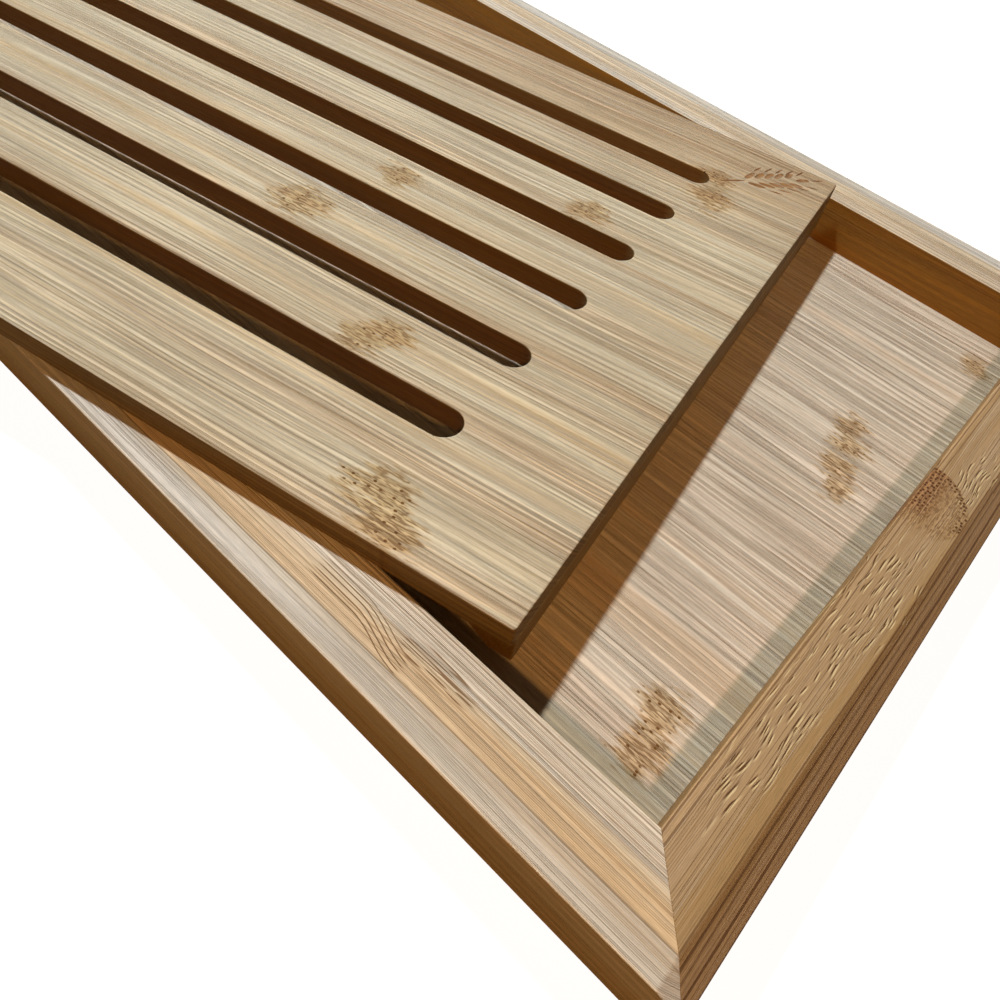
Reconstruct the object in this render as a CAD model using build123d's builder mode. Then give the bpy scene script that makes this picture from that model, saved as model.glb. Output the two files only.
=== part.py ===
"""Slotted bamboo bread board lying askew on its crumb tray.

The tray is a shallow box: four mitred rails round a thin floor panel. The board is a
panel with long slots that crumbs fall through and a batten under each end. Put away,
it drops between the rails and stands on its battens. Here it has been taken out and
laid across the tray: its right end hangs inside, its left end is past the left rail.

Millimetres, +Z up. The origin is the middle of the tray's underside and X runs along
the board's slots, so the tray lies turned by the angle that the board is askew.
"""

import os
from math import cos, radians, sin

from build123d import *

# Crumb tray
opening_length = 360.0  # between the inner faces of the short rails
opening_width = 220.0  # between the inner faces of the long rails
tray_depth = 16.5  # rail tops down to the floor
floor_thickness = 5.0
rail_width = 20.0
rabbet_width = 7.0  # step in each rail's foot that the floor panel sits in
floor_gap = 0.3  # floor panel to the rabbet's wall
grip_run = 6.4  # outer bevel of both tray ends, measured level
grip_drop = 3.5  # the same bevel, measured down
foot_break = 1.0  # chamfer round the tray's outer foot

# Slotted board
board_clearance = 2.5  # board to each inner face when it is put away
plate_thickness = 6.8
slot_count = 6
slot_width = 9.4
slot_pitch = 29.0
slot_end_margin = 36.0  # slot end to the board's end
batten_width = 15.0  # where it is glued under the plate
batten_foot = 6.0  # where it stands on the floor
batten_inset = 2.0  # batten's ends in from the board's long edges
nest_step = 0.9  # board top below the rail tops when it is put away

# How the board lies on the tray
board_turn = 11.24  # degrees from the tray's length
far_shift = 1.2  # board's right end off the middle, towards the far rail
batten_rail_gap = 2.3  # left batten to the outside of the left rail

# Sizes that follow
rail_height = tray_depth + floor_thickness
tray_length = opening_length + 2 * rail_width
tray_width = opening_width + 2 * rail_width
panel_length = opening_length + 2 * (rabbet_width - floor_gap)
panel_width = opening_width + 2 * (rabbet_width - floor_gap)
board_length = opening_length - 2 * board_clearance
board_width = opening_width - 2 * board_clearance
batten_height = tray_depth - plate_thickness - nest_step
slot_length = board_length - 2 * slot_end_margin

turn_cos = cos(radians(board_turn))
turn_sin = sin(radians(board_turn))

# The board's near right corner, from the tray's inner right and near faces
corner_from_near = (opening_width - board_width * turn_cos) / 2 + far_shift
batten_reach = board_length - batten_width
batten_over_rail = max(0.0, (batten_reach * turn_sin - rail_width - corner_from_near) / turn_cos)
corner_from_right = (
    opening_length + rail_width + batten_rail_gap - batten_reach * turn_cos - batten_over_rail * turn_sin
)

# The same corner from the tray's middle, first along the tray and then along the board
corner_along = opening_length / 2 - corner_from_right
corner_across = corner_from_near - opening_width / 2
board_right = corner_along * turn_cos + corner_across * turn_sin
board_near = corner_across * turn_cos - corner_along * turn_sin

tray_plane = Plane.XY.rotated((0, 0, -board_turn))
tray_side = Plane(origin=(0, 0, 0), x_dir=tray_plane.x_dir, z_dir=-tray_plane.y_dir)
board_middle = (board_right - board_length / 2, board_near + board_width / 2)
plate_plane = Plane.XY.offset(rail_height).move(Location((*board_middle, 0)))
batten_plane = Plane(origin=(*board_middle, rail_height), x_dir=(1, 0, 0), z_dir=(0, -1, 0))


def tray_rail(inner_start, inner_end):
    """Mitred rail over the wall between two corners of the opening, with its rabbet and grip bevels."""
    outer_start, outer_end = (
        (x + (rail_width if x > 0 else -rail_width), y + (rail_width if y > 0 else -rail_width))
        for x, y in (inner_start, inner_end)
    )
    with BuildPart() as rail:
        with BuildSketch(tray_plane):
            with BuildLine():
                Polyline(inner_start, inner_end, outer_end, outer_start, close=True)
            make_face()
        extrude(amount=rail_height)
        outer_foot = rail.edges().group_by(Axis.Z)[0].filter_by(
            lambda edge: abs(edge.length - (Vector(*outer_end) - Vector(*outer_start)).length) < 0.001
        )
        chamfer(outer_foot, length=foot_break)
        with BuildSketch(tray_plane):
            Rectangle(opening_length + 2 * rabbet_width, opening_width + 2 * rabbet_width)
        extrude(amount=floor_thickness, mode=Mode.SUBTRACT)
        with BuildSketch(tray_side):
            for end in (-1, 1):
                with BuildLine():
                    Polyline(
                        (end * (tray_length / 2 - grip_run), rail_height),
                        (end * tray_length / 2, rail_height),
                        (end * tray_length / 2, rail_height - grip_drop),
                        close=True,
                    )
                make_face()
        extrude(amount=tray_width / 2, both=True, mode=Mode.SUBTRACT)
    return rail


def end_batten(end):
    """Batten under one end of the board, upright outside and sloped inside (end is -1 or 1)."""
    with BuildPart() as batten:
        with BuildSketch(batten_plane):
            with BuildLine():
                Polyline(
                    (end * board_length / 2, 0),
                    (end * board_length / 2, -batten_height),
                    (end * (board_length / 2 - batten_foot), -batten_height),
                    (end * (board_length / 2 - batten_width), 0),
                    close=True,
                )
            make_face()
        extrude(amount=board_width / 2 - batten_inset, both=True)
    return batten


# Tray rails, each between two inner corners of the opening
left, right = -opening_length / 2, opening_length / 2
near, far = -opening_width / 2, opening_width / 2
tray_rail_near = tray_rail((left, near), (right, near))
tray_rail_far = tray_rail((left, far), (right, far))
tray_rail_left = tray_rail((left, near), (left, far))
tray_rail_right = tray_rail((right, near), (right, far))

# Floor panel, flush with the rails' undersides
with BuildPart() as tray_floor:
    with BuildSketch(tray_plane):
        Rectangle(panel_length, panel_width)
    extrude(amount=floor_thickness)

# Board plate with its row of crumb slots
with BuildPart() as board_plate:
    with BuildSketch(plate_plane):
        Rectangle(board_length, board_width)
        with GridLocations(0, slot_pitch, 1, slot_count):
            SlotOverall(slot_length, slot_width, mode=Mode.SUBTRACT)
    extrude(amount=plate_thickness)

board_batten_left = end_batten(-1)
board_batten_right = end_batten(1)

os.makedirs("parts", exist_ok=True)
tray_rail_near.part.label = "tray_rail_near"
export_step(tray_rail_near.part, "parts/tray_rail_near.step")
tray_rail_far.part.label = "tray_rail_far"
export_step(tray_rail_far.part, "parts/tray_rail_far.step")
tray_rail_left.part.label = "tray_rail_left"
export_step(tray_rail_left.part, "parts/tray_rail_left.step")
tray_rail_right.part.label = "tray_rail_right"
export_step(tray_rail_right.part, "parts/tray_rail_right.step")
tray_floor.part.label = "tray_floor"
export_step(tray_floor.part, "parts/tray_floor.step")
board_plate.part.label = "board_plate"
export_step(board_plate.part, "parts/board_plate.step")
board_batten_left.part.label = "board_batten_left"
export_step(board_batten_left.part, "parts/board_batten_left.step")
board_batten_right.part.label = "board_batten_right"
export_step(board_batten_right.part, "parts/board_batten_right.step")
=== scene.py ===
"""Looks of a slotted bamboo bread board that lies askew on its mitred crumb tray.

Metres in the row frame. Sizes are written in millimetres and turned to metres by MM.
X runs along the board's slots. The tray lies turned by BOARD_TURN about the origin.
"""

import math

import bmesh
import bpy
from mathutils import Euler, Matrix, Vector


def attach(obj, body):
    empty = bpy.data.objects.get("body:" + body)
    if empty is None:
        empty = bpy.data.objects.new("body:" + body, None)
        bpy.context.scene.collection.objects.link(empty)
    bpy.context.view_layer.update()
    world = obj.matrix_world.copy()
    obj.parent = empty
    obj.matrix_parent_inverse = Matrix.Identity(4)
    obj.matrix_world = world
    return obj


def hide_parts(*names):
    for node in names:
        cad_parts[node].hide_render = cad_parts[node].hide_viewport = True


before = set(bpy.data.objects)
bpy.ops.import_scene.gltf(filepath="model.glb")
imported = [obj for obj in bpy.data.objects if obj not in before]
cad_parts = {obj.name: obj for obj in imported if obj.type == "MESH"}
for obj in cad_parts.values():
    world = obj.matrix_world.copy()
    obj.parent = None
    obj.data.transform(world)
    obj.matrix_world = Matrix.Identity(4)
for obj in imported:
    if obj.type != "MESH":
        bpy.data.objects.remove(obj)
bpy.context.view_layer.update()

MM = 0.001

# Crumb tray, as in the model
OPENING_LENGTH = 360.0
OPENING_WIDTH = 220.0
RAIL_HEIGHT = 21.5
RAIL_WIDTH = 20.0
FLOOR_THICKNESS = 5.0
RABBET_WIDTH = 7.0
GRIP_RUN = 6.4
GRIP_DROP = 3.5
FOOT_BREAK = 1.0
FLOOR_EDGE = 6.7  # floor panel past the opening, inside the rabbet

# Slotted board, as in the model
BOARD_TURN = math.radians(11.24)
BOARD_LENGTH = 355.0
BOARD_WIDTH = 215.0
BOARD_RIGHT = 116.241
BOARD_NEAR = -129.377
PLATE_THICKNESS = 6.8
SLOT_COUNT = 6
SLOT_PITCH = 29.0
SLOT_WIDTH = 9.4
SLOT_LENGTH = 283.0
BATTEN_WIDTH = 15.0
BATTEN_FOOT = 6.0
BATTEN_HEIGHT = 8.8
BATTEN_INSET = 2.0

PLATE_TOP = RAIL_HEIGHT + PLATE_THICKNESS
BOARD_MIDDLE = (BOARD_RIGHT - BOARD_LENGTH / 2, BOARD_NEAR + BOARD_WIDTH / 2)

# Ear of wheat, carved near the board's far right corner
EAR_FOOT = (86.5, 57.5)
EAR_LEAN = math.radians(46.0)
CARVED_DEPTH = 0.4

# Sanded edges, as radii
CORNER_RADIUS = 0.8  # the board's upright corners
ARRIS = 0.45
UNDER_ARRIS = 0.3  # the plate's underside
FLOOR_ARRIS = 0.2
JOINT_EDGE = 0.12  # the sharp edges left at a glued mitre


def linear(hexa):
    """Linear RGBA of an sRGB hex colour."""
    channels = [int(hexa[i:i + 2], 16) / 255 for i in (1, 3, 5)]
    return tuple(c / 12.92 if c <= 0.04045 else ((c + 0.055) / 1.055) ** 2.4 for c in channels) + (1.0,)


class Finish:
    """The nodes of a material, a lamp or the world. One call adds a node, its settings and its links."""

    def __init__(self, owner):
        self.material = bpy.data.materials.new(owner) if isinstance(owner, str) else owner
        self.material.use_nodes = True
        self.tree = self.material.node_tree
        self.tree.nodes.clear()

    def add(self, kind, *values, out=0, into=None, **settings):
        """The output numbered out of a new node. values fill its first inputs and into those it names."""
        node = self.tree.nodes.new("ShaderNode" + kind)
        for key, value in settings.items():
            setattr(node, key, value)
        for socket, value in [*enumerate(values), *(into or {}).items()]:
            if isinstance(value, bpy.types.NodeSocket):
                self.tree.links.new(value, node.inputs[socket])
            else:
                node.inputs[socket].default_value = value
        return node.outputs[out] if node.outputs else node


def tray_point(u, v, z):
    """A point of the tray, u along it and v across it from its middle, in the row frame."""
    cos, sin = math.cos(BOARD_TURN), math.sin(BOARD_TURN)
    return Vector((cos * u + sin * v, cos * v - sin * u, z)) * MM


# ---------------------------------------------------------------- finishes

# What a stained place is multiplied with, linear
LINE_STAIN = (0.22, 0.13, 0.05, 1.0)  # a cut fibre line, dark with oil
WARM_STAIN = (0.83, 0.71, 0.60, 1.0)  # the board's far side, from redder canes
RAIL_SHADOW_ON_FLOOR = (0.80, 0.77, 0.68, 1.0)  # painted shadow: the floor's band along the near and right rails, where the rails shade it from the warm lamp
DOT_STAIN = (0.50, 0.38, 0.24, 1.0)  # a cut bundle in end grain
MARK_STAIN = (0.91, 0.79, 0.60, 1.0)  # a growth ring's patch
NODE_STAIN = (0.98, 0.93, 0.84, 1.0)  # the half-round cut through a ring
NODE_RED_STAIN = (0.90, 0.78, 0.72, 1.0)  # its reddish inner part
# Pale lines cover what is under them. They are partly paler fibres and partly painted highlight on the
# ridges.
PALE_LINE_AND_HIGHLIGHT = "#fbf1de"
# the lit side of a raised fibre end, a painted highlight
FIBRE_END_HIGHLIGHT = "#dfc491"

# How far lines wander, in mm over the whole range of the noise, of which they use a part
SWAY = 2.6  # fibre lines
SWING = 1.6  # a rail's long lines
WANDER = 2.6  # fibre ends
FRAY = 2.6  # a growth ring's outline, in its half sizes

WARM_RUN = 45.0  # mm over which the far side turns warm
UP_SHARE = 0.83  # a step up counts as so much of a step across, so upright faces get level lines
LAYER_STEP = 13.0  # how far apart two finishes' patterns lie in the noise
HAIRS = 5.0  # hairlines in the width of one lane
DARK_LAYERS = 3  # of the five layers of lanes; the others are pale
END_DOTS = 1.4  # cut bundles to a millimetre of end grain
GRAIN_RELIEF = 0.14 * MM  # from a cut line up to a polished ridge

FRAY_SCALE = (0.14, 0.75, 1.0)  # a growth ring frays in steps of 7 mm along and 1.3 mm across
CUT_DOT_SCALE = (0.74, 0.9, 1.0)  # dots 1.35 mm apart along the grain and 1.1 mm across
STRIP_BLUR = 0.15  # mm to each side of a glued strip's edge
LINE_BLUR = 0.12  # mm outside a long line


def grain_space(f, turn):
    """Millimetres along, across and up the grain, from where a piece lies in the row frame."""
    place = f.add("TexCoord", out=3)
    turned = f.add("VectorRotate", place, into={"Angle": turn}, rotation_type="Z_AXIS")
    return f.add("VectorMath", turned, (1 / MM, 1 / MM, 1 / MM), operation="MULTIPLY")


def nearest_spot(f, place, spots):
    """How far a point is from the nearest spot: 1 on its outline. A spot is s, w and two half sizes."""
    nearest = None
    for s, w, half_along, half_across in spots:
        away = f.add("VectorMath", place, (s, w, 0.0), operation="SUBTRACT")
        scaled = f.add("VectorMath", away, (1 / half_along, 1 / half_across, 0.0), operation="MULTIPLY")
        distance = f.add("VectorMath", scaled, out=1, operation="LENGTH")
        nearest = distance if nearest is None else f.add("Math", nearest, distance, operation="MINIMUM")
    return nearest


def bamboo(name, turn, tones, seed, spacing=1.15, contrast=1.0, soft=0.12,
           side_stain_and_shade=(0.62, 0.48, 0.32, 1.0), marks=(), warm_from=None, dull=None, detail=None):
    """Laminated bamboo, planed, sanded and oiled.

    To the eye it is pale straw with straight fibre lines in strips of slightly different tone, satin
    where the fibres stand up and dull in the cut lines. tones are the strips' colours, spacing is
    the width of a lane of hairlines in mm, contrast their strength and soft that of the streaks
    between them. marks are the growth rings' spots. warm_from is where the wood starts to turn
    redder across the grain. dull is where a painted shadow of the near and right rails starts on
    the floor, along and across. Upright faces are cut across the strips and drink more oil, and get
    the stain given for them, which is partly their own darker tone and partly painted shade.
    """
    f = Finish(name)
    grain = grain_space(f, turn)
    along, across, up = f.add("SeparateXYZ", grain).node.outputs
    place = f.add("CombineXYZ", along, across, 0.0)

    # the lines sway by about a millimetre over a hand's width; on an upright face they run level
    sway = f.add("VectorMath", grain, (1 / 90, 1 / 25, 1 / 25), operation="MULTIPLY")
    sway = f.add("TexNoise", sway, into={"Scale": 1.0, "Detail": 1.0})
    lane = f.add("Math", up, UP_SHARE, across, operation="MULTIPLY_ADD")
    lane = f.add("Math", sway, SWAY, lane, operation="MULTIPLY_ADD")
    flow = f.add("CombineXYZ", along, lane, seed * LAYER_STEP)

    # strips: soft bands about 10 mm wide
    band = f.add("VectorMath", flow, (1 / 420, 1 / 10, 1.0), operation="MULTIPLY")
    band = f.add("TexNoise", band, into={"Scale": 1.0, "Detail": 1.0, "Roughness": 0.5})
    colour = f.add("ValToRGB", band)
    stops = colour.node.color_ramp.elements
    for i, tone in enumerate(tones):
        stop = stops[i] if i < 2 else stops.new(0.5)
        stop.position = 0.3 + 0.4 * i / (len(tones) - 1)
        stop.color = linear(tone)
    stains = []
    if warm_from is not None:
        stains.append((f.add("MapRange", across, warm_from, warm_from + WARM_RUN), WARM_STAIN))
    if dull:
        # painted shadow: a greyer band of the floor past dull along the grain and before it across, where
        # the near and right rails shade it
        beyond = f.add("MapRange", along, dull[0] - 0.6, dull[0] + 0.4)
        before = f.add("MapRange", across, dull[1] + 0.6, dull[1] - 0.4)
        stains.append((f.add("Math", beyond, before, operation="MAXIMUM"), RAIL_SHADOW_ON_FLOOR))
    for share, stain in stains:
        colour = f.add("Mix", out=2, data_type="RGBA", blend_type="MULTIPLY",
                       into={0: share, 6: colour, 7: stain})

    # bundles of fibres: soft streaks of 0.2 to 1.6 mm, and sanded pores 4 mm long
    streak = f.add("VectorMath", flow, (1 / 110, 1 / 0.9, 1.0), operation="MULTIPLY")
    streak = f.add("TexNoise", streak, into={"Scale": 1.0, "Detail": 2.0, "Roughness": 0.7})
    pore = f.add("VectorMath", flow, (1 / 4, 3.4, 1.0), operation="MULTIPLY")
    pore = f.add("TexNoise", pore, into={"Scale": 1.0, "Detail": 1.0})
    shade = f.add("Math", f.add("MapRange", streak, 0.3, 0.7, 1 - soft, 1 + soft),
                  f.add("MapRange", pore, 0.25, 0.75, 0.88, 1.1), operation="MULTIPLY")
    shade = f.add("CombineXYZ", shade, shade, shade)
    colour = f.add("VectorMath", colour, shade, operation="MULTIPLY")

    dark, pale = fibre_lines(f, lane, flow, band, spacing, contrast)
    # pale lines, partly paler fibres and partly painted highlight on the ridges
    colour = f.add("Mix", out=2, data_type="RGBA", into={0: pale, 6: colour, 7: linear(PALE_LINE_AND_HIGHLIGHT)})
    if marks:
        colour, dark = growth_marks(f, place, marks, colour, dark)
    if detail:
        colour, dark = detail.paint(f, place, colour, dark)

    # upright faces, darker partly in their own tone and partly with painted shade, and end grain with its
    # dots of cut bundles
    normal = f.add("VectorRotate", f.add("TexCoord", out=1), into={"Angle": turn}, rotation_type="Z_AXIS")
    facing = f.add("SeparateXYZ", normal).node.outputs
    upright = f.add("MapRange", f.add("Math", facing[2], operation="ABSOLUTE"), 0.8, 0.5)
    ends = f.add("MapRange", f.add("Math", facing[0], operation="ABSOLUTE"), 0.75, 0.85)
    dots = f.add("CombineXYZ", across, up)
    dots = f.add("TexVoronoi", dots, into={"Scale": END_DOTS}, voronoi_dimensions="2D")
    dots = f.add("Math", f.add("MapRange", dots, 0.35, 0.15, 0.0, 0.75), ends, operation="MULTIPLY")
    for share, stain in ((dark, LINE_STAIN), (upright, side_stain_and_shade), (dots, DOT_STAIN)):
        colour = f.add("Mix", out=2, data_type="RGBA", blend_type="MULTIPLY",
                       into={0: share, 6: colour, 7: stain})

    # the oil sits shiny on the pale ridges and sinks into pores and cut lines
    relief = f.add("Math", f.add("Math", pale, 0.6, operation="MULTIPLY"), dark, operation="SUBTRACT")
    relief = f.add("Math", pore, 0.5, relief, operation="MULTIPLY_ADD")
    bump = f.add("Bump", into={"Strength": 0.8, "Distance": GRAIN_RELIEF, "Height": relief})
    rough = f.add("MapRange", relief, -1.0, 1.1, 0.62, 0.38)
    shader = f.add("BsdfPrincipled", into={"Base Color": colour, "Roughness": rough, "IOR": 1.5,
                                           "Specular IOR Level": 0.12, "Normal": bump})
    f.add("OutputMaterial", shader)
    return f.material


def fibre_lines(f, lane, flow, band, spacing, contrast):
    """How dark the cut fibre lines are and how pale the polished ones, whose paleness is partly the fibres'
    own and partly painted highlight.

    A hairline is under 0.1 mm wide, like the finest on a real board, and too fine to show alone. So
    hairlines come and go in lanes, coarse enough that the eye takes a lane for one line. Each layer
    has its lane's width and its half line width in mm, both HAIRS times a hairline's own, its share,
    the length it runs before it fades, and what part of it is there.
    """
    crowd = f.add("MapRange", band, 0.4, 0.56, 0.6, 1.0)
    layers = ((spacing, 0.18, contrast, 60.0, 0.5),
              (spacing * 0.7, 0.13, 0.45 * contrast, 35.0, 0.45),
              (6.0, 0.2, 1.0, 260.0, 0.4),
              (spacing * 0.9, 0.17, 0.6 * contrast, 60.0, 0.4),
              (5.0, 0.18, 0.9 * contrast, 200.0, 0.35))
    dark = pale = 0.0
    for k, (gap, half, share, run, kept) in enumerate(layers):
        shifted = f.add("Math", lane, 1 / gap, 0.37 * k, operation="MULTIPLY_ADD")
        edge = f.add("TexVoronoi", into={"W": shifted, "Scale": HAIRS}, voronoi_dimensions="1D",
                     feature="DISTANCE_TO_EDGE")
        line = f.add("MapRange", edge, 0.55 * half / gap, half / gap, share, 0.0)
        there = f.add("VectorMath", flow, (1 / run, 1 / gap, 1.0 + k), operation="MULTIPLY")
        there = f.add("TexNoise", there, into={"Scale": 1.0, "Detail": 0.0})
        there = f.add("MapRange", there, 0.6 - 0.4 * kept, 0.72 - 0.4 * kept)
        line = f.add("Math", line, there, operation="MULTIPLY")
        if k < DARK_LAYERS:
            dark = f.add("Math", dark, f.add("Math", line, crowd, operation="MULTIPLY"), operation="MAXIMUM")
        else:
            pale = f.add("Math", pale, line, operation="MAXIMUM")
    return dark, pale


def growth_marks(f, place, marks, colour, dark):
    """The rings of the cane: patches of short brown dashes and pits that fray out along the grain."""
    fray = f.add("VectorMath", place, FRAY_SCALE, operation="MULTIPLY")
    fray = f.add("TexNoise", fray, into={"Scale": 1.0, "Detail": 2.0, "Roughness": 0.6})
    frayed = f.add("Math", fray, FRAY, nearest_spot(f, place, marks), operation="MULTIPLY_ADD")
    patch = f.add("MapRange", frayed, 2.45, 1.95)
    dash = f.add("VectorMath", place, (1 / 3.2, 1 / 0.5, 1.0), operation="MULTIPLY")
    dash = f.add("TexNoise", dash, into={"Scale": 1.0, "Detail": 1.0})
    short = f.add("Math", f.add("MapRange", dash, 0.47, 0.56), 0.75, operation="MULTIPLY")
    pit = f.add("VectorMath", place, (1 / 2.6, 1 / 1.9, 1.0), operation="MULTIPLY")
    pit = f.add("TexVoronoi", pit, into={"Scale": 1.0}, voronoi_dimensions="2D")
    some = f.add("Math", f.add("SeparateColor", pit.node.outputs["Color"]), 0.6, operation="GREATER_THAN")
    hole = f.add("Math", f.add("MapRange", pit, 0.2, 0.12, 0.0, 1.2), some, operation="MULTIPLY")
    burnt = f.add("Math", f.add("Math", short, hole, operation="MAXIMUM"), patch, operation="MULTIPLY")
    colour = f.add("Mix", out=2, data_type="RGBA", blend_type="MULTIPLY",
                   into={0: patch, 6: colour, 7: MARK_STAIN})
    return colour, f.add("Math", dark, burnt, operation="MAXIMUM")


class RailDetail:
    """What one pair of rails shows besides fibres. A distance out from the inner face is called w.

    strips are glued strips (w from, w to, stain) and lines are long dark lines (w, width, share).
    wave is a bundle of dark lines that swing outwards (s from, s to, w from, w to, swing). dashes
    and strokes are spots of short dark dashes and of pale fibre ends. node is a half-round cut
    through a ring of the cane. The spots lie on the near or the right rail, where the coordinate
    across the grain is negative.
    """

    def __init__(self, inner_face, strips, lines, inner_wall_shade, wave=None, dashes=(), strokes=(), node=None):
        self.inner_face = inner_face
        self.strips = strips
        self.lines = lines
        self.inner_wall_shade = inner_wall_shade
        self.wave = wave
        self.dashes = dashes
        self.strokes = strokes
        self.node = node

    def reach(self, f, place, spots):
        """How far a point is from the nearest of the rail's spots."""
        return nearest_spot(f, place, [(s, -self.inner_face - w, a, b) for s, w, a, b in spots])

    def paint(self, f, place, colour, dark):
        along, across, _ = f.add("SeparateXYZ", place).node.outputs
        out = f.add("Math", across, operation="ABSOLUTE")
        out = f.add("Math", out, self.inner_face, operation="SUBTRACT")
        stains = []
        for start, end, stain in self.strips:
            after = f.add("MapRange", out, start - STRIP_BLUR, start + STRIP_BLUR)
            before = f.add("MapRange", out, end + STRIP_BLUR, end - STRIP_BLUR)
            stains.append((f.add("Math", after, before, operation="MULTIPLY"), stain))
        # painted shade: the inner wall and the last 0.25 mm of the top before it are darkened
        stains.append((f.add("MapRange", out, 0.25, 0.1), self.inner_wall_shade))
        for share, stain in stains:
            colour = f.add("Mix", out=2, data_type="RGBA", blend_type="MULTIPLY",
                           into={0: share, 6: colour, 7: stain})
        swing = f.add("VectorMath", place, (1 / 60, 1 / 4, 1.0), operation="MULTIPLY")
        swing = f.add("TexNoise", swing, into={"Scale": 1.0, "Detail": 1.0})
        swung = f.add("Math", swing, 0.5, operation="SUBTRACT")
        swung = f.add("Math", swung, SWING, out, operation="MULTIPLY_ADD")
        for w, width, share in self.lines:
            line = f.add("Math", f.add("Math", swung, w, operation="SUBTRACT"), operation="ABSOLUTE")
            line = f.add("MapRange", line, width / 2, width / 2 + LINE_BLUR, share, 0.0)
            dark = f.add("Math", dark, line, operation="MAXIMUM")
        if self.wave:
            dark = self.wavy_lines(f, along, across, swing, dark)
        if self.dashes:
            dash = f.add("VectorMath", place, (1 / 11, 1 / 0.4, 1.0), operation="MULTIPLY")
            dash = f.add("TexNoise", dash, into={"Scale": 1.0, "Detail": 0.0})
            dash = f.add("MapRange", dash, 0.55, 0.61, 0.0, 0.9)
            reach = f.add("MapRange", self.reach(f, place, self.dashes), 1.0, 0.8)
            dark = f.add("Math", dark, f.add("Math", dash, reach, operation="MULTIPLY"), operation="MAXIMUM")
        if self.strokes:
            colour, dark = self.pale_strokes(f, place, colour, dark)
        if self.node:
            colour, dark = self.cut_node(f, place, colour, dark)
        return colour, dark

    def wavy_lines(self, f, along, across, swing, dark):
        """Dark lines a millimetre apart that run along the grain and then swing outwards."""
        s_from, s_to, w_from, w_to, bent = self.wave
        w = f.add("Math", -self.inner_face, across, operation="SUBTRACT")
        bend = f.add("MapRange", along, s_from + 0.45 * (s_to - s_from), s_to, 0.0, bent,
                     interpolation_type="SMOOTHSTEP")
        straight = f.add("Math", w, bend, operation="SUBTRACT")
        straight = f.add("Math", swing, SWING, straight, operation="MULTIPLY_ADD")
        line = f.add("Math", straight, 0.5, operation="PINGPONG")
        line = f.add("MapRange", line, 0.17, 0.05, 0.0, 0.9)
        bounds = ((straight, w_from + 0.8, w_to + 0.8, 0.2), (along, s_from, s_to, 3.0))
        for value, start, end, soft in bounds:
            after = f.add("MapRange", value, start, start + soft)
            before = f.add("MapRange", value, end, end - soft / 2)
            between = f.add("Math", after, before, operation="MULTIPLY")
            line = f.add("Math", line, between, operation="MULTIPLY")
        return f.add("Math", dark, line, operation="MAXIMUM")

    def cut_node(self, f, place, colour, dark):
        """The cut ring: dots of fibre ends along the rim and the inner edge, short strokes between."""
        s, _, half_along, _ = self.node
        face = -self.inner_face
        distance = self.reach(f, place, [self.node])
        along, across, _ = f.add("SeparateXYZ", place).node.outputs
        inside = f.add("MapRange", distance, 1.0, 0.97)
        lower = f.add("MapRange", along, s - 0.85 * half_along, s - 0.5 * half_along)
        inside = f.add("Math", inside, lower, operation="MULTIPLY")
        upper = f.add("MapRange", along, s - 0.55 * half_along, s - 0.15 * half_along)
        upper = f.add("Math", inside, upper, operation="MULTIPLY")
        inner = f.add("MapRange", across, face - 7.5, face - 3.0)
        rim = f.add("MapRange", distance, 0.76, 0.88)
        dots = f.add("VectorMath", place, CUT_DOT_SCALE, operation="MULTIPLY")
        dots = f.add("TexVoronoi", dots, into={"Scale": 1.0, "Randomness": 0.6}, voronoi_dimensions="2D")
        dotted = f.add("Math", f.add("Math", rim, inner, operation="MAXIMUM"), upper, operation="MULTIPLY")
        dotted = f.add("Math", f.add("MapRange", dots, 0.38, 0.24), dotted, operation="MULTIPLY")
        dash = f.add("VectorMath", place, (1 / 2.2, 1 / 0.45, 1.0), operation="MULTIPLY")
        dash = f.add("TexNoise", dash, into={"Scale": 1.0, "Detail": 1.0})
        dash = f.add("Math", f.add("MapRange", dash, 0.5, 0.6, 0.0, 0.55), inside, operation="MULTIPLY")
        red = f.add("Math", upper, inner, operation="MULTIPLY")
        for share, stain in ((inside, NODE_STAIN), (red, NODE_RED_STAIN)):
            colour = f.add("Mix", out=2, data_type="RGBA", blend_type="MULTIPLY",
                           into={0: share, 6: colour, 7: stain})
        burnt = f.add("Math", dotted, dash, operation="MAXIMUM")
        return colour, f.add("Math", dark, burnt, operation="MAXIMUM")

    def pale_strokes(self, f, place, colour, dark):
        """Short raised fibre ends by a ring, each with a painted highlight on one side and painted shade on
        the other.
        """
        warp = f.add("VectorMath", place, (1 / 10, 1 / 7, 1.0), operation="MULTIPLY")
        warp = f.add("TexNoise", warp, out=1, into={"Scale": 1.0, "Detail": 0.0})
        warped = f.add("VectorMath", warp, (0.0, WANDER, 0.0), place, operation="MULTIPLY_ADD")
        reach = f.add("MapRange", self.reach(f, place, self.strokes), 1.0, 0.75)
        for length, apart, left_out in ((8.0, 1.15, 0.5), (4.5, 0.95, 0.62)):
            cells = f.add("VectorMath", warped, (1 / length, 1 / apart, 1.0), operation="MULTIPLY")
            stroke = f.add("TexVoronoi", cells, into={"Scale": 1.0}, voronoi_dimensions="2D").node.outputs
            away = f.add("VectorMath", cells, stroke["Position"], operation="SUBTRACT")
            off_end, off_line, _ = f.add("SeparateXYZ", away).node.outputs
            ends = f.add("MapRange", f.add("Math", off_end, operation="ABSOLUTE"), 0.42, 0.15)
            chance = f.add("SeparateColor", stroke["Color"])
            chosen = f.add("Math", chance, left_out, operation="GREATER_THAN")
            share = f.add("Math", ends, chosen, operation="MULTIPLY")
            share = f.add("Math", share, reach, operation="MULTIPLY")
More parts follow.
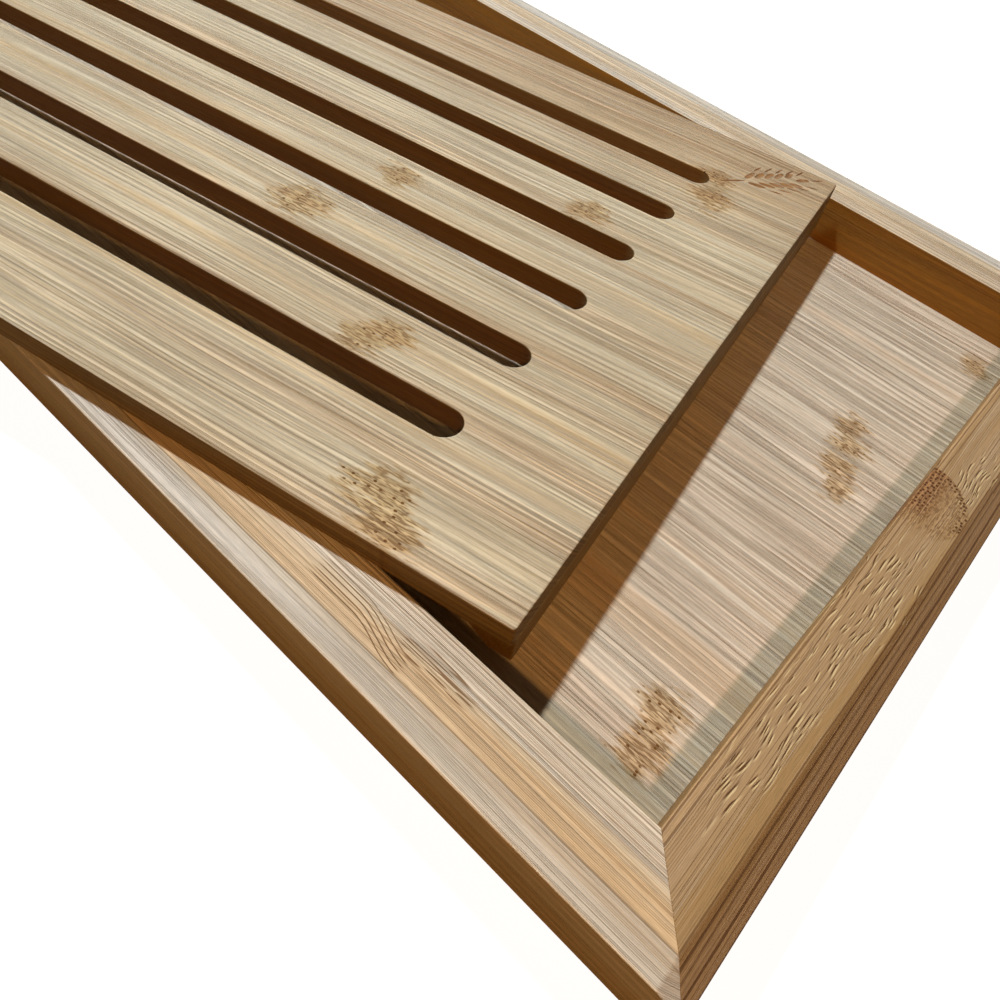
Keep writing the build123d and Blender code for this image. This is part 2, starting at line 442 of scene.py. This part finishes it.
            # painted highlight along each stroke
            pale = f.add("MapRange", f.add("Math", off_line, operation="ABSOLUTE"), 0.17, 0.08, 0.0, 0.9)
            pale = f.add("Math", pale, share, operation="MULTIPLY")
            colour = f.add("Mix", out=2, data_type="RGBA", into={0: pale, 6: colour, 7: linear(FIBRE_END_HIGHLIGHT)})
            # painted shade in each stroke's lee, beside the highlight
            lee_shade = f.add("Math", f.add("Math", off_line, 0.27, operation="SUBTRACT"), operation="ABSOLUTE")
            lee_shade = f.add("MapRange", lee_shade, 0.16, 0.07, 0.0, 0.95)
            dark = f.add("Math", dark, f.add("Math", lee_shade, share, operation="MULTIPLY"), operation="MAXIMUM")
        return colour, dark


# ---------------------------------------------------------------- shapes

ROUNDING_STEPS = 3  # facets of a sanded edge
CORNER_STEPS = 4  # facets of a corner of the board
SLOT_END_STEPS = 16  # facets of a slot's round end
STROKE_POINTS = 16  # points round a carved stroke
CARVED_LEVELS = ((1.0, 0.0), (0.85, 0.7), (0.5, 1.0))  # shares of a stroke's outline and of the depth
SCORCHED, ROUTED = 1, 2  # the plate's second and third finish


def put(name, mesh, body, node, slot, *materials):
    """A piece that stands for a node of the model, rides on its body and takes the finishes given. slot is
    not used.
    """
    piece = bpy.data.objects.new(name, mesh)
    bpy.context.scene.collection.objects.link(piece)
    for material in materials:
        piece.data.materials.append(material)
    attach(piece, body)
    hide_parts(node)
    return piece


def solid(points, faces, edge_radius):
    """A closed mesh with its edges weighted for sanding, and the widest radius.

    edge_radius gives an edge's radius in mm from the numbers of its two corners.
    """
    bm = bmesh.new()
    corners = [bm.verts.new(p) for p in points]
    for face in faces:
        bm.faces.new([corners[i] for i in face])
    bmesh.ops.recalc_face_normals(bm, faces=bm.faces)
    bm.verts.index_update()
    widest = max(edge_radius(e.verts[0].index, e.verts[1].index) for e in bm.edges)
    weight = bm.edges.layers.float.new("bevel_weight_edge")
    for edge in bm.edges:
        edge[weight] = edge_radius(edge.verts[0].index, edge.verts[1].index) / widest
    mesh = bpy.data.meshes.new("solid")
    bm.to_mesh(mesh)
    bm.free()
    return mesh, widest


def sand(piece, radius):
    """Rounds the weighted edges and keeps the flat faces flat in their shading."""
    if radius:
        rounding = piece.modifiers.new("sanded_edges", "BEVEL")
        rounding.width = radius * MM
        rounding.segments = ROUNDING_STEPS
        rounding.limit_method = "WEIGHT"
        rounding.use_clamp_overlap = True
        rounding.harden_normals = False
    for polygon in piece.data.polygons:
        polygon.use_smooth = True
    shading = piece.modifiers.new("flat_faces", "WEIGHTED_NORMAL")
    shading.mode = "FACE_AREA"
    shading.weight = 80


def rail_mesh(side):
    """One mitred rail. side is near, far, left or right."""
    long = side in ("near", "far")
    half = (OPENING_LENGTH if long else OPENING_WIDTH) / 2
    inner = (OPENING_WIDTH if long else OPENING_LENGTH) / 2
    bevel_start = RAIL_WIDTH - GRIP_RUN
    # from the rabbet's corner up the inner face, over the top and down to the foot
    section = [(0, FLOOR_THICKNESS), (0, RAIL_HEIGHT), (bevel_start, RAIL_HEIGHT),
               (RAIL_WIDTH, RAIL_HEIGHT - GRIP_DROP), (RAIL_WIDTH, FOOT_BREAK), (RAIL_WIDTH - FOOT_BREAK, 0),
               (RABBET_WIDTH, 0), (RABBET_WIDTH, FLOOR_THICKNESS)]
    count = len(section)
    ends = [[(end * (half + w), w, z) for w, z in section] for end in (-1, 1)]
    points = ends[0] + ends[1]
    faces = [list(range(count)), list(range(count, 2 * count))]
    for i in range(count):
        if long and i in (1, 2, 3):
            continue
        j = (i + 1) % count
        faces.append([i, j, count + j, count + i])
    if long:  # the short rails' grip bevels run on over its ends and cut a corner off each
        points += [(end * (half + bevel_start), RAIL_WIDTH, RAIL_HEIGHT) for end in (-1, 1)]
        low, high = 2 * count, 2 * count + 1
        faces += [[1, 2, low, high, count + 2, count + 1], [2, 3, low],
                  [count + 2, count + 3, high], [low, 3, 4, count + 4, count + 3, high]]

    def place(s, w, z):
        if side == "near":
            return tray_point(s, -inner - w, z)
        if side == "far":
            return tray_point(s, inner + w, z)
        return tray_point(inner + w if side == "right" else -inner - w, s, z)

    def radius(a, b):
        of_section = max(a, b) < 2 * count
        at_mitre = (a < count) == (b < count)
        in_rabbet = {a % count, b % count} & {0, count - 1}
        return JOINT_EDGE if of_section and (at_mitre or in_rabbet) else ARRIS

    return solid([place(*p) for p in points], faces, radius)


def floor_mesh():
    """The thin panel that sits in the rails' rabbets."""
    half_u, half_v = OPENING_LENGTH / 2 + FLOOR_EDGE, OPENING_WIDTH / 2 + FLOOR_EDGE
    points = [tray_point(u * half_u, v * half_v, z) for z in (0, FLOOR_THICKNESS)
              for u, v in ((-1, -1), (1, -1), (1, 1), (-1, 1))]
    faces = [[0, 1, 2, 3], [4, 5, 6, 7], [0, 1, 5, 4], [1, 2, 6, 5], [2, 3, 7, 6], [3, 0, 4, 7]]
    return solid(points, faces, lambda a, b: FLOOR_ARRIS)


def batten_mesh(end):
    """Upright outside and sloped inside. end is -1 for the left one and 1 for the right one."""
    outer = BOARD_MIDDLE[0] + end * BOARD_LENGTH / 2
    foot = RAIL_HEIGHT - BATTEN_HEIGHT
    section = [(0, RAIL_HEIGHT), (0, foot), (BATTEN_FOOT, foot), (BATTEN_WIDTH, RAIL_HEIGHT)]
    half = BOARD_WIDTH / 2 - BATTEN_INSET
    points = [Vector((outer - end * d, BOARD_MIDDLE[1] + side * half, z)) * MM
              for side in (-1, 1) for d, z in section]
    faces = [[0, 1, 2, 3], [4, 5, 6, 7]] + [[i, (i + 1) % 4, 4 + (i + 1) % 4, 4 + i] for i in range(4)]
    return solid(points, faces, lambda a, b: JOINT_EDGE if {a % 4, b % 4} <= {0, 3} else ARRIS)


def rounded_corners(inset):
    """Outline of the board, anticlockwise, with small round corners."""
    half_x, half_y = BOARD_LENGTH / 2 - inset, BOARD_WIDTH / 2 - inset
    r = CORNER_RADIUS - inset
    points = []
    for corner, (sx, sy) in enumerate(((1, -1), (1, 1), (-1, 1), (-1, -1))):
        for k in range(CORNER_STEPS + 1):
            a = math.radians(-90 + 90 * corner + 90 * k / CORNER_STEPS)
            points.append((sx * (half_x - r) + r * math.cos(a), sy * (half_y - r) + r * math.sin(a)))
    return [(x + BOARD_MIDDLE[0], y + BOARD_MIDDLE[1]) for x, y in points]


def slot_outline(inset, y):
    """Outline of one crumb slot with its round ends."""
    r = SLOT_WIDTH / 2 + inset
    reach = (SLOT_LENGTH - SLOT_WIDTH) / 2
    points = []
    for end in (1, -1):
        for k in range(SLOT_END_STEPS + 1):
            a = math.radians(-90 + 180 * k / SLOT_END_STEPS)
            points.append((end * (reach + r * math.cos(a)), end * r * math.sin(a)))
    return [(x + BOARD_MIDDLE[0], dy + y) for x, dy in points]


def ear_of_wheat():
    """Outlines of the carved strokes of an ear of wheat, each with its middle.

    A stroke is where its middle lies along and across the ear, its length, its width and its
    direction in degrees. The stem comes first, then pairs of grains, each with an awn, and the tip.
    """
    stem_width, grain_width, awn_width = 1.1, 2.0, 0.7
    strokes = [(0.0, 0.0, 10.0, stem_width, 0.0)]
    for k in range(5):
        along = 8.0 + 3.9 * k
        strokes += [(along, side * 2.9, 6.4 - 0.4 * k, grain_width, side * 32.0) for side in (-1, 1)]
        strokes += [(along + 5.2, side * (7.2 - 0.7 * k), 5.0, awn_width, side * 30.0) for side in (-1, 1)]
    strokes += [(27.6, 0.0, 5.4, grain_width, 0.0), (33.6, 0.0, 5.0, awn_width, 0.0)]
    outlines = []
    cos, sin = math.cos(EAR_LEAN), math.sin(EAR_LEAN)
    for along, across, length, width, lean in strokes:
        a, b = math.cos(math.radians(lean)), math.sin(math.radians(lean))
        outline = []
        for k in range(STROKE_POINTS):
            t = math.tau * k / STROKE_POINTS
            x, y = length / 2 * math.cos(t), width / 2 * math.sin(t)
            x, y = along + a * x - b * y, across + b * x + a * y
            outline.append((EAR_FOOT[0] + cos * x - sin * y, EAR_FOOT[1] + sin * x + cos * y))
        middle = [sum(values) / STROKE_POINTS for values in zip(*outline)]
        outlines.append((outline, middle))
    return outlines


def rounded_edge(radius, z, inwards):
    """Rings of a quarter round from a flat face at z to the wall, as (inset, height).

    inwards is 1 where the wall goes up from that face and -1 where it goes down.
    """
    angles = [math.radians(90 * k / ROUNDING_STEPS) for k in range(ROUNDING_STEPS + 1)]
    return [(radius * (1 - math.sin(a)), z + inwards * radius * (1 - math.cos(a))) for a in angles]


def plate_mesh():
    """The slotted plate: walls through rings that round each edge, and a filled top and underside."""
    top = rounded_edge(ARRIS, PLATE_TOP, -1)
    rings = top + rounded_edge(UNDER_ARRIS, RAIL_HEIGHT, 1)[::-1]
    slot_rows = [BOARD_MIDDLE[1] + SLOT_PITCH * (i - (SLOT_COUNT - 1) / 2) for i in range(SLOT_COUNT)]
    outlines = [rounded_corners] + [lambda inset, y=y: slot_outline(inset, y) for y in slot_rows]
    bm = bmesh.new()
    rims = {0: [], len(rings) - 1: []}
    for outline in outlines:
        before = None
        wall = 0 if outline is rounded_corners else ROUTED
        for level, (inset, z) in enumerate(rings):
            ring = [bm.verts.new(Vector((x, y, z)) * MM) for x, y in outline(inset)]
            if before:
                for i in range(len(ring)):
                    j = (i + 1) % len(ring)
                    face = bm.faces.new([before[i], before[j], ring[j], ring[i]])
                    face.material_index = wall if level >= len(top) else 0
            if level in rims:
                for i in range(len(ring)):
                    pair = (ring[i], ring[(i + 1) % len(ring)])
                    rims[level].append(bm.edges.get(pair) or bm.edges.new(pair))
            before = ring
    for outline, middle in ear_of_wheat():
        before = None
        for share, depth in CARVED_LEVELS:
            z = PLATE_TOP - CARVED_DEPTH * depth
            shrunk = [(middle[0] + share * (x - middle[0]), middle[1] + share * (y - middle[1]))
                      for x, y in outline]
            ring = [bm.verts.new(Vector((x, y, z)) * MM) for x, y in shrunk]
            for i in range(len(ring)):
                j = (i + 1) % len(ring)
                if before:
                    bm.faces.new([before[i], before[j], ring[j], ring[i]]).material_index = SCORCHED
                else:
                    rims[0].append(bm.edges.new((ring[i], ring[j])))
            before = ring
        bm.faces.new(before).material_index = SCORCHED
    for edges in rims.values():
        bmesh.ops.triangle_fill(bm, use_beauty=True, use_dissolve=False, edges=edges)
    bmesh.ops.recalc_face_normals(bm, faces=bm.faces)
    mesh = bpy.data.meshes.new("slotted_plate")
    bm.to_mesh(mesh)
    bm.free()
    return mesh


# ---------------------------------------------------------------- pieces

BOARD_TONES = ("#d6bb8f", "#dac49c", "#dac9a5", "#dccaa7", "#dec9a2", "#dcbf95")
FLOOR_TONES = ("#e0c6a4", "#e5cfb2", "#e3d2b8", "#e7d5bc", "#e5cfb1", "#e6d0b5")
LONG_RAIL_TONES = ("#e1c59f", "#e9d4b4", "#edddc4", "#efe0c6", "#e7cda8")
SHORT_RAIL_TONES = ("#a38154", "#aa8a60", "#ae8e66", "#ad8d64", "#a68458")
SCORCHED_TONES = ("#94683c", "#a3784a", "#8a5f36")

# Growth rings as spots. The board's are measured from its near right corner, the floor's from the
# tray's middle.
board_marks = [(BOARD_RIGHT + x, BOARD_NEAR + y, half_along, half_across)
               for x, y, half_along, half_across in (
                   (-32.5, 5.0, 8.0, 6.0), (-39.5, 11.0, 8.0, 6.5), (-66.5, 50.8, 6.5, 5.0),
                   (-71.0, 45.4, 6.5, 5.5), (-118.0, 78.2, 9.0, 7.0), (-107.4, 108.2, 6.5, 6.0),
                   (-56.3, 133.4, 6.5, 6.0), (-31.0, 171.0, 7.5, 9.0), (-35.5, 183.0, 7.0, 7.0))]
floor_marks = [(155.5, 29.5, 5.5, 5.5), (158.5, 22.0, 6.0, 5.5), (160.0, 11.5, 6.0, 5.5),
               (164.0, 4.5, 5.0, 6.0), (167.0, -84.0, 6.0, 5.5), (169.0, -94.0, 5.5, 7.0),
               (172.0, 92.0, 6.0, 6.0)]

long_rails = RailDetail(
    OPENING_WIDTH / 2, inner_wall_shade=(0.42, 0.28, 0.10, 1.0),
    strips=[(6.6, 13.6, (0.94, 0.87, 0.76, 1.0)), (13.6, 19.4, (0.84, 0.88, 0.95, 1.0))],
    lines=[(1.0, 0.25, 0.7), (1.9, 0.2, 0.4), (3.4, 0.2, 0.6), (5.2, 0.2, 0.5), (6.6, 0.2, 0.5),
           (9.6, 0.2, 0.4), (13.6, 0.2, 0.6), (15.4, 0.2, 0.4)],
    wave=(99.0, 129.0, 6.0, 10.4, 3.2), dashes=[(133.0, 7.4, 11.0, 3.2)])
short_rails = RailDetail(
    OPENING_LENGTH / 2, inner_wall_shade=(0.95, 0.88, 0.74, 1.0),
    # the strip over the grip bevel is darker, partly its own tone and partly painted shade
    strips=[(0.0, 2.2, (1.08, 1.06, 1.02, 1.0)), (13.6, 30.0, (0.82, 0.74, 0.64, 1.0))],
    lines=[(0.8, 0.2, 0.6), (2.2, 0.2, 0.6), (13.6, 0.2, 0.6), (15.0, 0.25, 0.7), (16.2, 0.2, 0.5),
           (17.8, 0.3, 0.75)],
    strokes=[(-36.0, 6.5, 24.0, 9.0), (18.0, 10.0, 14.0, 5.5), (-78.0, 6.0, 30.0, 6.0)],
    node=(-1.0, -0.5, 14.5, 14.5))

# The board: bamboo strips glued side by side, planed, sanded fine and oiled. It gives the eye warm
# straw with thin brown lines, short dark marks at the growth rings and brown cut sides, their brown
# partly painted shade.
board_finish = bamboo("oiled_bamboo_board", 0.0, BOARD_TONES, seed=1.0, spacing=1.0, contrast=0.85,
                      marks=board_marks, warm_from=20.0, side_stain_and_shade=(0.35, 0.25, 0.09, 1.0))
# The tray's floor: a thin bamboo panel, sanded and left with little oil. It gives the eye the palest
# and plainest wood, with painted shadow in a greyer band along the near and right rails.
floor_finish = bamboo("sanded_bamboo_floor", BOARD_TURN, FLOOR_TONES, seed=5.0, spacing=1.25, contrast=1.15,
                      soft=0.08, marks=floor_marks, dull=(174.6, -99.0))
# The long rails: the palest bamboo strips, planed, sanded and oiled. They give the eye cream with a
# few long brown lines, and a brown line down the inner edge. Their inner walls are dark brown with
# painted shade.
long_rail_finish = bamboo("oiled_bamboo_long_rails", BOARD_TURN, LONG_RAIL_TONES, seed=9.0, spacing=1.5,
                          contrast=0.9, soft=0.08, side_stain_and_shade=(0.70, 0.58, 0.34, 1.0), detail=long_rails)
# The short rails: browner bamboo strips, planed, sanded and oiled, with a ring of the cane cut
# through. They give the eye an even tan with pale fibre ends, painted with highlight and shade,
# a grip bevel darkened partly with painted shade and inner walls with a little painted shade.
short_rail_finish = bamboo("oiled_bamboo_short_rails", BOARD_TURN - math.pi / 2, SHORT_RAIL_TONES, seed=13.0,
                           spacing=2.4, contrast=0.45, soft=0.06, side_stain_and_shade=(0.85, 0.76, 0.62, 1.0),
                           detail=short_rails)
# The battens: the board's bamboo, sawn and oiled. All that shows is dark brown sides, their darkness partly
# painted shade under the board.
batten_finish = bamboo("oiled_bamboo_battens", math.pi / 2, BOARD_TONES, seed=17.0, spacing=1.8,
                       contrast=0.6, side_stain_and_shade=(0.30, 0.20, 0.07, 1.0))
# The carving: bamboo burnt away by a hot beam. It gives the eye dull toast brown.
scorched_finish = bamboo("scorched_bamboo_carving", 0.0, SCORCHED_TONES, seed=3.0, contrast=0.5)
# The slots' walls: cut by a router and soaked with oil, and darkened further with painted shade
# of the deep slots. They give the eye the darkest brown.
routed_finish = bamboo("routed_bamboo_slot_walls", 0.0, BOARD_TONES, seed=1.0, contrast=0.5,
                       side_stain_and_shade=(0.26, 0.17, 0.08, 1.0))

plate = put("slotted_bread_plate", plate_mesh(), "board", "board_plate", "board_bamboo",
            board_finish, scorched_finish, routed_finish)
sand(plate, 0)
for end, side in ((-1, "left"), (1, "right")):
    mesh, widest = batten_mesh(end)
    batten = put(f"sloped_batten_{side}", mesh, "board", f"board_batten_{side}", "batten_bamboo",
                 batten_finish)
    sand(batten, widest)
for side in ("near", "far", "left", "right"):
    finish = long_rail_finish if side in ("near", "far") else short_rail_finish
    mesh, widest = rail_mesh(side)
    rail = put(f"mitred_rail_{side}", mesh, "tray", f"tray_rail_{side}", "rail_bamboo", finish)
    sand(rail, widest)
mesh, widest = floor_mesh()
sand(put("crumb_floor", mesh, "tray", "tray_floor", "floor_bamboo", floor_finish), widest)

# ---------------------------------------------------------------- stage

WHITE = (1.0, 1.0, 1.0, 1.0)
SHEET_REACH = 6.0
SHEET_DROP = 0.0002  # the sheet lies this far under the tray, so that the two don't flicker

# matt paper: white to the camera, dim as a lamp, so that it throws little light back up at the wood
paper = Finish("matt_paper")
lit = paper.add("BsdfDiffuse", linear("#90867a"))
glow = paper.add("Emission", WHITE, 0.95)
seen_paper = paper.add("AddShader", lit, glow)
paper.add("OutputMaterial", paper.add("MixShader", paper.add("LightPath"), lit, seen_paper))

sheet_mesh = bpy.data.meshes.new("paper_sheet")
corners = [(x * SHEET_REACH, y * SHEET_REACH, 0) for x, y in ((-1, -1), (1, -1), (1, 1), (-1, 1))]
sheet_mesh.from_pydata(corners, [], [(0, 1, 2, 3)])
sheet = bpy.data.objects.new("paper_sheet", sheet_mesh)
sheet.location.z = -SHEET_DROP
sheet.data.materials.append(paper.material)
bpy.context.scene.collection.objects.link(sheet)


def lamp(name, kind, colour, energy, **settings):
    """A lamp that gives light but isn't seen itself."""
    light = bpy.data.lights.new(name, kind)
    light.color = colour
    light.energy = energy
    for key, value in settings.items():
        setattr(light, key, value)
    made = bpy.data.objects.new(name, light)
    made.visible_camera = False
    bpy.context.scene.collection.objects.link(made)
    return made


spot = lamp("ceiling_spot", "POINT", (0.79, 0.90, 1.0), 42.0, shadow_soft_size=0.012)
spot.location = (-0.060, 0.024, 0.413)
fill = lamp("warm_lamp_by_the_camera", "POINT", (1.0, 0.50, 0.15), 14.0, shadow_soft_size=0.010)
fill.location = (0.191, -0.288, 0.220)
# both as bright far off as near by, as if they stood a room's width away
for light in (spot.data, fill.data):
    even = Finish(light)
    even.add("OutputLight", even.add("Emission", WHITE, even.add("LightFalloff", 1.0, out=2)))

# soft daylight from behind on the left, low, so that the far sides aren't lost in the dark
window = lamp("window_behind_left", "SUN", (0.95, 0.97, 1.0), 0.5, angle=math.radians(40.0))
window.rotation_euler = tray_point(0.75, -0.62, -0.25).to_track_quat("-Z", "Y").to_euler()

# a dim warm room, which the camera, gloss and glass see as white
world = bpy.data.worlds.new("room")
bpy.context.scene.world = world
room = Finish(world)
ray = room.add("LightPath").node.outputs
seen = room.add("Math", ray["Is Camera Ray"], ray["Is Glossy Ray"], operation="MAXIMUM")
seen = room.add("Math", seen, ray["Is Transmission Ray"], operation="MAXIMUM")
dim = room.add("Background", (1.0, 0.62, 0.32, 1.0), 0.03)
white = room.add("Background", WHITE, 1.0)
room.add("OutputWorld", room.add("MixShader", seen, dim, white))

bpy.context.scene.view_settings.view_transform = "Standard"

camera = bpy.data.objects.new("camera", bpy.data.cameras.new("camera"))
camera.location = (0.13856, -0.19487, 0.15216)
camera.rotation_euler = Euler([math.radians(a) for a in (37.518, -9.668, 29.98)], "XYZ")
camera.data.lens = 27.511
camera.data.sensor_width = 36.0
camera.data.shift_x = -0.05657
camera.data.shift_y = 0.01203
camera.data.clip_start = 0.005
bpy.context.scene.collection.objects.link(camera)
bpy.context.scene.camera = camera
